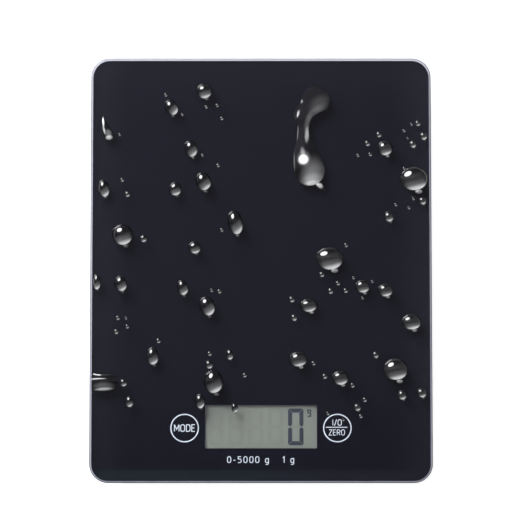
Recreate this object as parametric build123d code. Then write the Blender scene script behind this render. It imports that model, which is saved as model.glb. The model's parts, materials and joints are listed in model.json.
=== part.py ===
from build123d import *
import math
import os

# A slim glass-top kitchen scale. Millimetres; +X right, +Y towards the back edge, +Z up.
# The origin is on the table, under the middle of the platform. The display is at -Y.

# ---- Driving dimensions ---------------------------------------------------------------
PLATFORM_WIDTH = 180.0
PLATFORM_DEPTH = 225.0
OVERALL_HEIGHT = 16.0
GLASS_THICKNESS = 4.0
PLATFORM_CORNER = 10.0
GLASS_EDGE_ROUND = 1.0
CLEAR_RIM = 1.05
PRINT_THICKNESS = 0.15
TAPE_THICKNESS = 0.35

# Heights of the stack, from the glass down and from the table up
GLASS_BOTTOM = OVERALL_HEIGHT - GLASS_THICKNESS
PRINT_BOTTOM = GLASS_BOTTOM - PRINT_THICKNESS
TAPE_BOTTOM = PRINT_BOTTOM - TAPE_THICKNESS
HOUSING_BOTTOM = 3.0
FLOOR_THICKNESS = 1.4
FLOOR_TOP = HOUSING_BOTTOM + FLOOR_THICKNESS
BOARD_BOTTOM = 6.0
BOARD_TOP = BOARD_BOTTOM + 1.2
CELL_PLATE_BOTTOM = 7.0
CELL_PLATE_TOP = CELL_PLATE_BOTTOM + 1.2

# Housing tray
HOUSING_INSET = 7.0
HOUSING_WIDTH = PLATFORM_WIDTH - 2 * HOUSING_INSET
HOUSING_DEPTH = PLATFORM_DEPTH - 2 * HOUSING_INSET
HOUSING_CORNER = 8.0
HOUSING_EDGE_ROUND = 3.0
WALL = 2.0
RIM_WIDTH = 5.0
RIM_THICKNESS = 1.6
RIB_THICKNESS = 1.2
RIB_TOP = 7.4

# Display window and touch keys
DISPLAY_Y = -82.9
WINDOW_WIDTH = 58.7
WINDOW_DEPTH = 22.7
KEY_X = 40.05
KEY_Y = -83.6
KEY_RING_RADIUS = 7.2
KEY_RING_LINE = 0.6

# Display stack
CELL_GLASS = 1.1
LCD_WIDTH = 64.0
LCD_DEPTH = 28.0
LCD_LEDGE = 4.0
LCD_BOTTOM = 8.7
LCD_TOP = LCD_BOTTOM + 2 * CELL_GLASS
FILM = 0.2
FRAME_WIDTH = LCD_WIDTH + 4.0
FRAME_DEPTH = LCD_DEPTH + 3.0

# Board
BOARD_WIDTH = 94.0
BOARD_DEPTH = 49.0
BOARD_Y = -76.5
BOARD_SCREW_X = 44.0
BOARD_SCREW_YS = (-98.0, -55.0)
SOCKET_Y = -56.0
SOCKET_SIZE = (7.0, 4.5, 2.6)

# Feet and load cells
FOOT_X = 63.0
FOOT_Y = 85.0
FOOT_RADIUS = 11.0
NECK_RADIUS = 7.5
NECK_CLEARANCE = 0.5
FLANGE_RADIUS = 9.0
FLANGE_BOTTOM = 4.7
FLANGE_TOP = 5.5
SKIRT_BOTTOM = 0.7
SKIRT_TOP = 2.2
PAD_RADIUS = 9.4
PAD_TOP = 1.3
POST_RADIUS = 3.0
CELL_SIZE = 26.0
BRACKET_SIZE = 28.0
BRACKET_POCKET = 18.0
CELL_SCREW_X = 11.0
SCREW_RADIUS = 1.0
SCREW_GAP = 0.03
GAUGE_SIZE = (6.0, 4.0, 0.3)
GAUGE_Y = 6.0

# Ribbons and leads
CORE_RADIUS = 0.5
CORE_PITCH = 0.9
RIBBON_Z = CELL_PLATE_TOP + CORE_RADIUS
FRONT_SOCKET_X = 38.0
BACK_SOCKET_X = 24.0
LEAD_RADIUS = 0.55

# Battery well, lid and coin cell
WELL_Y = -24.0
LID_OPENING = (26.0, 28.0)
LID_GAP = 0.3
WELL_WIDTH = 30.0
WELL_DEPTH = 32.4
WELL_WALL = 1.4
WELL_ROOF_BOTTOM = 9.0
WELL_ROOF_TOP = 10.2
COIN_RADIUS = 10.0
COIN_BOTTOM = 4.9
COIN_CAN_TOP = 7.6
COIN_TOP = 8.1
CONTACT_THICKNESS = 0.3
TAB_END_Y = WELL_Y - WELL_DEPTH / 2 - WELL_WALL - 1.6

# The feet, by name: where each stands, and which way its load cell's root faces
FEET = {
    "front_left": (-FOOT_X, -FOOT_Y, 0),
    "front_right": (FOOT_X, -FOOT_Y, 0),
    "back_left": (-FOOT_X, FOOT_Y, 180),
    "back_right": (FOOT_X, FOOT_Y, 180),
}

# Letter strokes in units of the capital height: width, then (points, corner radius) strokes
LETTERS = {
    "M": (0.68, [([(0, 0), (0, 1)], 0), ([(0, 1), (0.34, 0.3), (0.68, 1)], 0), ([(0.68, 0), (0.68, 1)], 0)]),
    "O": (0.60, [([(0, 0), (0, 1), (0.6, 1), (0.6, 0), (0, 0)], 0.29)]),
    "D": (0.56, [([(0, 0), (0, 1)], 0), ([(0, 1), (0.56, 1), (0.56, 0), (0, 0)], 0.27)]),
    "E": (0.46, [([(0.46, 1), (0, 1), (0, 0), (0.46, 0)], 0), ([(0, 0.52), (0.4, 0.52)], 0)]),
    "Z": (0.54, [([(0, 1), (0.54, 1), (0, 0), (0.54, 0)], 0)]),
    "R": (0.54, [([(0, 0), (0, 1)], 0), ([(0, 1), (0.54, 1), (0.54, 0.5), (0, 0.5)], 0.22),
                 ([(0.24, 0.5), (0.54, 0)], 0)]),
    "I": (0.10, [([(0.05, 0), (0.05, 1)], 0)]),
    "/": (0.38, [([(0, -0.05), (0.38, 1.05)], 0)]),
    "-": (0.34, [([(0, 0.4), (0.34, 0.4)], 0)]),
    "0": (0.56, [([(0, 0), (0, 1), (0.56, 1), (0.56, 0), (0, 0)], 0.27)]),
    "1": (0.26, [([(0, 0.78), (0.24, 1), (0.24, 0)], 0)]),
    "5": (0.54, [([(0.5, 1), (0.04, 1), (0.04, 0.56)], 0),
                 ([(0.04, 0.6), (0.54, 0.6), (0.54, 0), (0, 0)], 0.25)]),
    "g": (0.50, [([(0, 0), (0, 0.68), (0.5, 0.68), (0.5, 0), (0, 0)], 0.22),
                 ([(0.5, 0.74), (0.5, -0.3), (0.04, -0.3)], 0.2)]),
    " ": (0.22, []),
}
PEN = 0.135


def slab(outline, bottom, top):
    """A flat outline raised into a solid between two heights."""
    return extrude(Pos(0, 0, bottom) * outline, top - bottom, dir=(0, 0, 1))


def disc(radius, bottom, top, x=0.0, y=0.0):
    """An upright cylinder."""
    return slab(Pos(x, y) * Circle(radius), bottom, top)


def block(width, depth, bottom, top, x=0.0, y=0.0):
    """An upright box."""
    return slab(Pos(x, y) * Rectangle(width, depth), bottom, top)


def frame_ring(outer, inner, bottom, top, corner=1.0):
    """A square ring with rounded outer corners."""
    ring = RectangleRounded(outer, outer, corner) - Rectangle(inner, inner)
    return slab(ring, bottom, top)


def bent_strip(points, width, x, bend=0.3):
    """A strip of spring metal bent in the Y-Z plane, its middle at X."""
    profile = trace(FilletPolyline(*points, radius=bend), CONTACT_THICKNESS)
    return Pos(x - width / 2, 0, 0) * extrude(Plane.YZ * profile, width, dir=(1, 0, 0))


def place_foot(name, shape):
    """Move a shape from a foot's own frame, root side at +Y, to where the foot stands."""
    x, y, turn = FEET[name]
    return Pos(x, y, 0) * Rot(0, 0, turn) * shape


def save(name, *solids):
    """Write one node. Several solids in a node stay separate."""
    shape = solids[0] if len(solids) == 1 else Compound(children=list(solids))
    shape.label = name
    export_step(shape, f"parts/{name}.step")


# ---- Glass and print ------------------------------------------------------------------
def glass_platform():
    outline = RectangleRounded(PLATFORM_WIDTH, PLATFORM_DEPTH, PLATFORM_CORNER)
    plate = slab(outline, GLASS_BOTTOM, OVERALL_HEIGHT)
    by_height = plate.faces().sort_by(Axis.Z)
    return fillet(by_height[0].edges() + by_height[-1].edges(), GLASS_EDGE_ROUND)


def lettering(text, x, baseline, height, spacing):
    """Words in plain strokes, centred at x. Spacing is in units of the capital height."""
    total = sum(LETTERS[letter][0] for letter in text) + spacing * (len(text) - 1)
    cursor = -total / 2
    strokes = []
    for letter in text:
        width, paths = LETTERS[letter]
        for points, corner in paths:
            closed = points[0] == points[-1]
            corners = points[:-1] if closed else points
            scaled = [((cursor + px) * height, py * height) for px, py in corners]
            if corner:
                line = FilletPolyline(*scaled, radius=corner * height, close=closed)
            else:
                line = Polyline(*scaled)
            strokes.append(Pos(x, baseline) * trace(line, PEN * height))
        cursor += width + spacing
    return strokes


def legend_outlines():
    """Every light mark on the glass: two key rings, their words, the bar and the range."""
    ring = Circle(KEY_RING_RADIUS + KEY_RING_LINE / 2) - Circle(KEY_RING_RADIUS - KEY_RING_LINE / 2)
    marks = [Pos(side * KEY_X, KEY_Y) * ring for side in (-1, 1)]
    marks += lettering("MODE", -KEY_X, KEY_Y - 1.75, 3.5, 0.25)
    marks += lettering("I/O", KEY_X - 0.2, KEY_Y + 1.4, 3.0, 0.24)
    marks.append(Pos(KEY_X - 0.4, KEY_Y + 0.4) * Rectangle(11.3, 0.45))
    marks += lettering("ZERO", KEY_X - 0.3, KEY_Y - 3.7, 2.8, 0.26)
    marks += lettering("0-5000 g   1 g", -0.2, -101.7, 3.1, 0.44)
    return Sketch() + marks


def back_print(legend):
    outline = RectangleRounded(
        PLATFORM_WIDTH - 2 * CLEAR_RIM, PLATFORM_DEPTH - 2 * CLEAR_RIM, PLATFORM_CORNER - CLEAR_RIM
    )
    window = Pos(0, DISPLAY_Y) * RectangleRounded(WINDOW_WIDTH, WINDOW_DEPTH, 0.4)
    return slab(outline - window - legend, PRINT_BOTTOM, GLASS_BOTTOM)


def housing_tape():
    outer = RectangleRounded(HOUSING_WIDTH - 1.0, HOUSING_DEPTH - 1.0, HOUSING_CORNER - 0.5)
    inner = RectangleRounded(
        HOUSING_WIDTH - 2 * RIM_WIDTH, HOUSING_DEPTH - 2 * RIM_WIDTH, HOUSING_CORNER - RIM_WIDTH
    )
    return slab(outer - inner, TAPE_BOTTOM, PRINT_BOTTOM)


# ---- Housing --------------------------------------------------------------------------
def tray():
    """The bare tray: floor, wall and an inward rim that carries the tape."""
    outline = RectangleRounded(HOUSING_WIDTH, HOUSING_DEPTH, HOUSING_CORNER)
    shell = slab(outline, HOUSING_BOTTOM, TAPE_BOTTOM)
    shell = fillet(shell.faces().sort_by(Axis.Z)[0].edges(), HOUSING_EDGE_ROUND)
    cavity = RectangleRounded(HOUSING_WIDTH - 2 * WALL, HOUSING_DEPTH - 2 * WALL, HOUSING_CORNER - WALL)
    mouth = RectangleRounded(
        HOUSING_WIDTH - 2 * RIM_WIDTH, HOUSING_DEPTH - 2 * RIM_WIDTH, HOUSING_CORNER - RIM_WIDTH
    )
    shell -= slab(cavity, FLOOR_TOP, TAPE_BOTTOM - RIM_THICKNESS)
    return shell - slab(mouth, FLOOR_TOP, TAPE_BOTTOM)


def floor_ribs():
    """Stiffening ribs, kept clear of the board, the well and the feet."""
    ribs = [
        block(HOUSING_WIDTH - 2 * WALL, RIB_THICKNESS, FLOOR_TOP, RIB_TOP, 0, y) for y in (12.0, 48.0)
    ]
    back_wall = HOUSING_DEPTH / 2 - WALL
    front_end = -47.0
    for side in (-1, 1):
        length = back_wall - front_end
        middle = (back_wall + front_end) / 2
        ribs.append(block(RIB_THICKNESS, length, FLOOR_TOP, RIB_TOP, side * 44.0, middle))
    return ribs


def ribbon_clip(x, y, turn=0):
    """A moulded post with a slot on top that a ribbon lies in."""
    post = block(5.6, 3.0, FLOOR_TOP, RIBBON_Z + CORE_RADIUS + 0.4)
    slot = block(3.2, 3.0, RIBBON_Z - CORE_RADIUS - 0.05, RIBBON_Z + CORE_RADIUS + 0.4)
    return Pos(x, y, 0) * Rot(0, 0, turn) * (post - slot)


def battery_well():
    """The closed well over the coin cell, with the broken ring that holds it in place."""
    outer = block(
        WELL_WIDTH + 2 * WELL_WALL, WELL_DEPTH + 2 * WELL_WALL, FLOOR_TOP, WELL_ROOF_TOP, 0, WELL_Y
    )
    well = outer - block(WELL_WIDTH, WELL_DEPTH, FLOOR_TOP, WELL_ROOF_BOTTOM, 0, WELL_Y)
    ring = disc(COIN_RADIUS + 1.4, 5.2, WELL_ROOF_BOTTOM, 0, WELL_Y)
    ring -= disc(COIN_RADIUS + 0.2, 5.2, WELL_ROOF_BOTTOM, 0, WELL_Y)
    ring -= block(14.0, 10.0, 5.2, WELL_ROOF_BOTTOM, 0.5, WELL_Y - COIN_RADIUS)
    well += ring
    for x, width in ((-2.5, 5.6), (4.0, 4.6)):
        well -= block(width, 2.0, WELL_ROOF_BOTTOM - 0.5, WELL_ROOF_BOTTOM, x, WELL_Y - WELL_DEPTH / 2 - 0.7)
    return well


def housing():
    body = tray()
    body += floor_ribs()
    for x, y, _ in FEET.values():
        body += disc(FLANGE_RADIUS + 2.0, FLOOR_TOP, FLANGE_TOP - 0.2, x, y)
        body -= disc(FLANGE_RADIUS + 0.6, FLOOR_TOP, FLANGE_TOP - 0.2, x, y)
        body -= disc(NECK_RADIUS + NECK_CLEARANCE, HOUSING_BOTTOM, FLOOR_TOP, x, y)
    for side in (-1, 1):
        for y in BOARD_SCREW_YS:
            body += disc(2.6, FLOOR_TOP, BOARD_BOTTOM, side * BOARD_SCREW_X, y)
            body -= disc(SCREW_RADIUS, 3.9, BOARD_BOTTOM, side * BOARD_SCREW_X, y)
        body += ribbon_clip(side * BACK_SOCKET_X, 4.0)
        body += ribbon_clip(side * BACK_SOCKET_X, -36.0)
        body += ribbon_clip(side * FOOT_X, 67.0)
        body += ribbon_clip(side * 50.5, -44.0, 90)
    body += battery_well()
    body -= block(*LID_OPENING, HOUSING_BOTTOM, FLOOR_TOP, 0, WELL_Y)
    return body - thumb_recess()


def thumb_recess():
    """A shallow round hollow across the lid's free edge, to lift it by."""
    return disc(5.0, HOUSING_BOTTOM, HOUSING_BOTTOM + 0.7, 0, WELL_Y - LID_OPENING[1] / 2 - 1.0)


# ---- Battery --------------------------------------------------------------------------
def battery_lid():
    width = LID_OPENING[0] - 2 * LID_GAP
    depth = LID_OPENING[1] - 2 * LID_GAP
    plate = slab(Pos(0, WELL_Y) * Rectangle(width, depth), HOUSING_BOTTOM, FLOOR_TOP)
    hinge_y = WELL_Y + LID_OPENING[1] / 2
    for side in (-1, 1):
        plate += block(5.0, 2.6, FLOOR_TOP, 5.4, side * 8.0, hinge_y - 1.7)
        plate += block(5.0, 3.0, 4.6, 5.4, side * 8.0, hinge_y)
    latch_y = WELL_Y - depth / 2
    plate += block(8.0, 0.8, FLOOR_TOP, 6.6, 0, latch_y + 1.4)
    plate += block(8.0, 1.2, 5.0, 5.8, 0, latch_y + 0.6)
    for x in (-6.0, 0.0, 6.0):
        plate += block(1.0, 14.0, FLOOR_TOP, 4.6, x, WELL_Y)
    return plate - thumb_recess()


def coin_cell():
    can = disc(COIN_RADIUS, COIN_BOTTOM, COIN_CAN_TOP, 0, WELL_Y)
    can = fillet(can.edges(), 0.4)
    cap = disc(COIN_RADIUS - 1.2, COIN_CAN_TOP, COIN_TOP, 0, WELL_Y)
    return can + fillet(cap.edges().sort_by(Axis.Z)[-1], 0.3)


def battery_contact_positive():
    """A strap on the well's roof, bent down to press on the side of the can."""
    level = WELL_ROOF_BOTTOM - CONTACT_THICKNESS / 2
    side_y = WELL_Y - COIN_RADIUS - CONTACT_THICKNESS / 2
    return bent_strip([(TAB_END_Y, level), (side_y, level), (side_y, 5.4)], 5.0, -2.5)


def battery_contact_negative():
    """A strap on the well's roof, folded back to press down on the cap."""
    level = WELL_ROOF_BOTTOM - CONTACT_THICKNESS / 2
    fold_y = WELL_Y + 6.0
    tip = COIN_TOP + CONTACT_THICKNESS / 2
    points = [(TAB_END_Y, level), (fold_y, level), (fold_y + 1.2, level - 0.35), (fold_y - 4.0, tip)]
    return bent_strip(points, 4.0, 4.0, bend=0.16)


def battery_lead(tab_x, pad_x):
    """An insulated lead from a contact's tab down to the board."""
    tab_z = WELL_ROOF_BOTTOM - CONTACT_THICKNESS / 2
    pad_z = BOARD_TOP + LEAD_RADIUS
    start = TAB_END_Y - 0.02
    path = FilletPolyline(
        (tab_x, start, tab_z),
        (tab_x, start - 3.4, tab_z),
        (pad_x, start - 7.4, pad_z),
        (pad_x, start - 11.4, pad_z),
        radius=3.0,
    )
    return sweep(Plane(origin=path @ 0, z_dir=path % 0) * Circle(LEAD_RADIUS), path=path)


# ---- Feet and load cells, each in its own frame with the cell's root at +Y ------------
def foot_cup():
    skirt = disc(FOOT_RADIUS, SKIRT_BOTTOM, SKIRT_TOP)
    skirt = fillet(skirt.edges(), 0.35)
    skirt -= disc(PAD_RADIUS + 0.1, SKIRT_BOTTOM, PAD_TOP)
    neck = disc(NECK_RADIUS, SKIRT_TOP, FLANGE_BOTTOM)
    flange = disc(FLANGE_RADIUS, FLANGE_BOTTOM, FLANGE_TOP)
    post = disc(POST_RADIUS, FLANGE_TOP, CELL_PLATE_BOTTOM)
    post = fillet(post.edges().sort_by(Axis.Z)[-1], 0.8)
    return skirt + neck + flange + post


def foot_pad():
    pad = disc(PAD_RADIUS, 0, PAD_TOP)
    pad = fillet(pad.edges().sort_by(Axis.Z)[0], 0.3)
    for groove in (3.0, 6.2):
        pad -= disc(groove + 0.5, 0, 0.3) - disc(groove - 0.5, 0, 0.3)
    return pad


def load_cell():
    """A spring-steel plate whose slot leaves a tongue that the foot's post bends."""
    plate = RectangleRounded(CELL_SIZE, CELL_SIZE, 2.0)
    slot = RectangleRounded(17.0, 16.0, 1.6) - Pos(0, 1.4) * Rectangle(14.2, 16.0)
    holes = [Pos(side * CELL_SCREW_X, 0) * Circle(SCREW_RADIUS + 0.1) for side in (-1, 1)]
    reliefs = [Pos(side * 5.0, GAUGE_Y) * Circle(1.1) for side in (-1, 1)]
    return slab(plate - slot - holes - reliefs, CELL_PLATE_BOTTOM, CELL_PLATE_TOP)


def strain_gauge():
    width, depth, thickness = GAUGE_SIZE
    return block(width, depth, CELL_PLATE_TOP, CELL_PLATE_TOP + thickness, 0, GAUGE_Y)


def sensor_bracket():
    bracket = frame_ring(BRACKET_SIZE, BRACKET_POCKET, CELL_PLATE_TOP, TAPE_BOTTOM, 2.0)
    for side in (-1, 1):
        bracket -= disc(SCREW_RADIUS, CELL_PLATE_TOP, 10.8, side * CELL_SCREW_X, 0)
    ribbon_notch = block(4.0, BRACKET_SIZE / 2, CELL_PLATE_TOP, RIBBON_Z + 1.0, 0, BRACKET_SIZE / 2)
    return bracket - ribbon_notch


def pan_screw(head_radius, head_bottom, head_top, tip, head_up):
    """A small screw with a cross recess. The shank runs from the head to the tip."""
    head = disc(head_radius, head_bottom, head_top)
    outer_edge = head.edges().sort_by(Axis.Z)[-1 if head_up else 0]
    head = fillet(outer_edge, 0.35)
    low, high = (head_top - 0.5, head_top) if head_up else (head_bottom, head_bottom + 0.5)
    head -= block(1.9, 0.4, low, high)
    head -= block(0.4, 1.9, low, high)
    start, end = (tip, head_bottom) if head_up else (head_top, tip)
    return head + disc(SCREW_RADIUS - SCREW_GAP, start, end)


def bracket_screws():
    screw = pan_screw(1.7, 5.8, CELL_PLATE_BOTTOM, 10.6, head_up=False)
    return [place_foot(name, Pos(side * CELL_SCREW_X, 0, 0) * screw) for name in FEET for side in (-1, 1)]


def sensor_ribbon(name):
    """A three-core ribbon from a strain gauge to its socket on the board."""
    x, y, turn = FEET[name]
    side = math.copysign(1, x)
    start_y = y + math.copysign(GAUGE_Y + GAUGE_SIZE[1] / 2 + 0.1, -y)
    end_y = SOCKET_Y + SOCKET_SIZE[1] / 2
    if turn:
        route = [(x, start_y), (x, 52), (side * BACK_SOCKET_X, 24), (side * BACK_SOCKET_X, end_y)]
        bend = 24.0
    else:
        corner_y = -44.0
        socket_x = side * FRONT_SOCKET_X
        route = [(x, start_y), (x, corner_y), (socket_x, corner_y), (socket_x, end_y)]
        bend = 9.0
    path = FilletPolyline(*[(px, py, RIBBON_Z) for px, py in route], radius=bend)
    cores = Sketch() + [Pos(offset * CORE_PITCH, 0) * Circle(CORE_RADIUS) for offset in (-1, 0, 1)]
    return sweep(Plane(origin=path @ 0, z_dir=path % 0, x_dir=(1, 0, 0)) * cores, path=path)


# ---- Display and board ----------------------------------------------------------------
def lcd_cell():
    top_glass = block(LCD_WIDTH, LCD_DEPTH, LCD_TOP - CELL_GLASS, LCD_TOP, 0, DISPLAY_Y)
    lower_depth = LCD_DEPTH - LCD_LEDGE
    lower_glass = block(
        LCD_WIDTH, lower_depth, LCD_BOTTOM, LCD_TOP - CELL_GLASS, 0, DISPLAY_Y - LCD_LEDGE / 2
    )
    return top_glass + lower_glass


def lcd_front_polariser():
    return block(LCD_WIDTH - 2, LCD_DEPTH - 2, LCD_TOP, LCD_TOP + FILM, 0, DISPLAY_Y)


def lcd_reflector():
    depth = LCD_DEPTH - LCD_LEDGE - 1
    return block(LCD_WIDTH - 2, depth, LCD_BOTTOM - FILM, LCD_BOTTOM, 0, DISPLAY_Y - LCD_LEDGE / 2)


def lcd_gasket():
    ring = Rectangle(LCD_WIDTH + 3, LCD_DEPTH + 2) - Rectangle(WINDOW_WIDTH + 1.3, WINDOW_DEPTH + 1.3)
    return slab(Pos(0, DISPLAY_Y) * ring, LCD_TOP + FILM, PRINT_BOTTOM)


def zebra_y():
    """The middle of the contact ledge along the back of the display."""
    return DISPLAY_Y + LCD_DEPTH / 2 - LCD_LEDGE / 2


def zebra_strip():
    return block(58.0, 2.0, BOARD_TOP, LCD_TOP - CELL_GLASS, 0, zebra_y())


def lcd_frame():
    frame = slab(
        Pos(0, DISPLAY_Y) * RectangleRounded(FRAME_WIDTH, FRAME_DEPTH, 1.0), BOARD_TOP, LCD_TOP + FILM
    )
    frame -= block(LCD_WIDTH + 0.2, LCD_DEPTH + 0.2, LCD_BOTTOM - FILM, LCD_TOP + FILM, 0, DISPLAY_Y)
    frame -= block(56.0, 18.0, BOARD_TOP, LCD_BOTTOM, 0, DISPLAY_Y - LCD_LEDGE / 2)
    return frame - block(58.4, 2.4, BOARD_TOP, LCD_BOTTOM, 0, zebra_y())


def main_board():
    outline = Pos(0, BOARD_Y) * RectangleRounded(BOARD_WIDTH, BOARD_DEPTH, 2.0)
    for side in (-1, 1):
        for y in BOARD_SCREW_YS:
            outline -= Pos(side * BOARD_SCREW_X, y) * Circle(SCREW_RADIUS + 0.1)
    return slab(outline, BOARD_BOTTOM, BOARD_TOP)


def board_screws():
    screw = pan_screw(1.9, BOARD_TOP, BOARD_TOP + 1.1, 4.1, head_up=True)
    return [Pos(side * BOARD_SCREW_X, y, 0) * screw for side in (-1, 1) for y in BOARD_SCREW_YS]


def controller_blob():
    """A low dome of black epoxy over the controller."""
    radius, rise = 5.5, 1.5
    sphere_radius = (radius ** 2 + rise ** 2) / (2 * rise)
    dome = Pos(0, -60.0, BOARD_TOP + rise - sphere_radius) * Sphere(sphere_radius)
    return dome & block(2 * radius, 2 * radius, BOARD_TOP, BOARD_TOP + rise, 0, -60.0)


def adc_chip():
    """The converter, in a 16-pin surface-mount case."""
    x, y = -13.0, -59.5
    chip = block(3.9, 9.9, BOARD_TOP + 0.15, BOARD_TOP + 1.5, x, y)
    bend = [(1.85, 0.8), (2.3, 0.8), (2.5, 0.1), (3.05, 0.1)]
    profile = Plane.XZ * trace(Polyline(*[(px, BOARD_TOP + pz) for px, pz in bend]), 0.2)
    pin = extrude(profile, 0.4, dir=(0, 1, 0))
    for row in range(8):
        pin_y = y - 0.2 + (row - 3.5) * 1.27
        chip += Pos(x, pin_y, 0) * pin
        chip += Pos(x, pin_y, 0) * mirror(pin, about=Plane.YZ)
    return chip


def smd_parts():
    """Resistors and capacitors beside the controller, each its own solid."""
    parts = []
    for column in range(3):
        for row in range(4):
            height = 0.55 if (column + row) % 2 else 0.85
            x = 10.0 + column * 3.4
            y = -64.0 + row * 2.6
            parts.append(block(2.0, 1.25, BOARD_TOP, BOARD_TOP + height, x, y))
    return parts


def sensor_sockets():
    width, depth, height = SOCKET_SIZE
    sockets = []
    for x in (-FRONT_SOCKET_X, -BACK_SOCKET_X, BACK_SOCKET_X, FRONT_SOCKET_X):
        socket = block(width, depth, BOARD_TOP, BOARD_TOP + height, x, SOCKET_Y)
        sockets.append(socket - block(width - 2, 1.2, BOARD_TOP + 2.0, BOARD_TOP + height, x, SOCKET_Y))
    return sockets


def touch_spring(x):
    """A coil spring that stands on the board and touches the print under a key."""
    wire_radius = 0.25
    coil = Helix(
        pitch=0.98, height=PRINT_BOTTOM - BOARD_TOP - 2 * wire_radius - 0.02, radius=3.6,
        center=(x, KEY_Y, BOARD_TOP + wire_radius + 0.01),
    )
    return sweep(Plane(origin=coil @ 0, z_dir=coil % 0) * Circle(wire_radius), path=coil, is_frenet=True)


# ---- Write every node -----------------------------------------------------------------
os.makedirs("parts", exist_ok=True)

legend = legend_outlines()
save("glass_platform", glass_platform())
save("back_print", back_print(legend))
save("legend_print", *slab(legend, PRINT_BOTTOM, GLASS_BOTTOM).solids())
save("housing_tape", housing_tape())
save("housing", housing())

save("lcd_gasket", lcd_gasket())
save("lcd_front_polariser", lcd_front_polariser())
save("lcd_cell", lcd_cell())
save("lcd_reflector", lcd_reflector())
save("lcd_frame", lcd_frame())
save("zebra_strip", zebra_strip())
save("main_board", main_board())
save("board_screws", *board_screws())
save("controller_blob", controller_blob())
save("adc_chip", adc_chip())
save("smd_parts", *smd_parts())
save("sensor_sockets", *sensor_sockets())
save("touch_spring_left", touch_spring(-KEY_X))
save("touch_spring_right", touch_spring(KEY_X))

save("battery_lid", battery_lid())
save("coin_cell", coin_cell())
save("battery_contact_positive", battery_contact_positive())
save("battery_contact_negative", battery_contact_negative())
save("battery_lead_red", battery_lead(-2.5, -8.5))
save("battery_lead_black", battery_lead(4.0, 8.5))

bracket_pad = frame_ring(BRACKET_SIZE, BRACKET_POCKET, TAPE_BOTTOM, PRINT_BOTTOM, 2.0)
save("bracket_pads", *[place_foot(name, bracket_pad) for name in FEET])
save("bracket_screws", *bracket_screws())
save("strain_gauges", *[place_foot(name, strain_gauge()) for name in FEET])
for name in FEET:
    save(f"load_cell_{name}", place_foot(name, load_cell()))
    save(f"sensor_bracket_{name}", place_foot(name, sensor_bracket()))
    save(f"sensor_ribbon_{name}", sensor_ribbon(name))
    save(f"foot_cup_{name}", place_foot(name, foot_cup()))
    save(f"foot_pad_{name}", place_foot(name, foot_pad()))
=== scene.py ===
import json
import math

import bpy
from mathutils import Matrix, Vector


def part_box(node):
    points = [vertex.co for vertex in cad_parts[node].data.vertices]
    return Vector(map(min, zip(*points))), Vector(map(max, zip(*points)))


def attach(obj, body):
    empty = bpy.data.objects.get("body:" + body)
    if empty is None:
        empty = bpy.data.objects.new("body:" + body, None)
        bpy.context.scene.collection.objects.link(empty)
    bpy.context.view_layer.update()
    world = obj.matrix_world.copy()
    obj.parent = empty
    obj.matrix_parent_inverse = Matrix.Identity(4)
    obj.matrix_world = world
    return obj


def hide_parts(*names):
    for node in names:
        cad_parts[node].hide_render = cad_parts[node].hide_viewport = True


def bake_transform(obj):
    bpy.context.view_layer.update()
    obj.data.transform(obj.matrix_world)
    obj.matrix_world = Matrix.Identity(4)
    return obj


# Looks for a glass-top kitchen scale, in metres and in the CAD's frame: +X right, +Y towards
# the back edge, +Z up, the origin on the table under the middle of the platform.

MM = 0.001
GLASS_CORNER = 10 * MM
GLASS_EDGE = 1.0 * MM

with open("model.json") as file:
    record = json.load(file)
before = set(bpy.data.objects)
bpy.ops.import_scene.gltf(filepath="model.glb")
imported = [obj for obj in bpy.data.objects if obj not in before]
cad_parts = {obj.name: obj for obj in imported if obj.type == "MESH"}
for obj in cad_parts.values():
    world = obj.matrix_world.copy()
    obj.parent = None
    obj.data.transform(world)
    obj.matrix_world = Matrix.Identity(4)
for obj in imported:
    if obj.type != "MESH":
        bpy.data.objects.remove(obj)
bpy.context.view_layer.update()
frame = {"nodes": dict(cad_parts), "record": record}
nodes = frame["nodes"]
slot_of = {part["node"]: part["material_slot"] for part in frame["record"]["subparts"]}
glass_low, glass_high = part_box("glass_platform")
print_low, print_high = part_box("back_print")
film_low, film_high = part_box("lcd_front_polariser")


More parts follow.
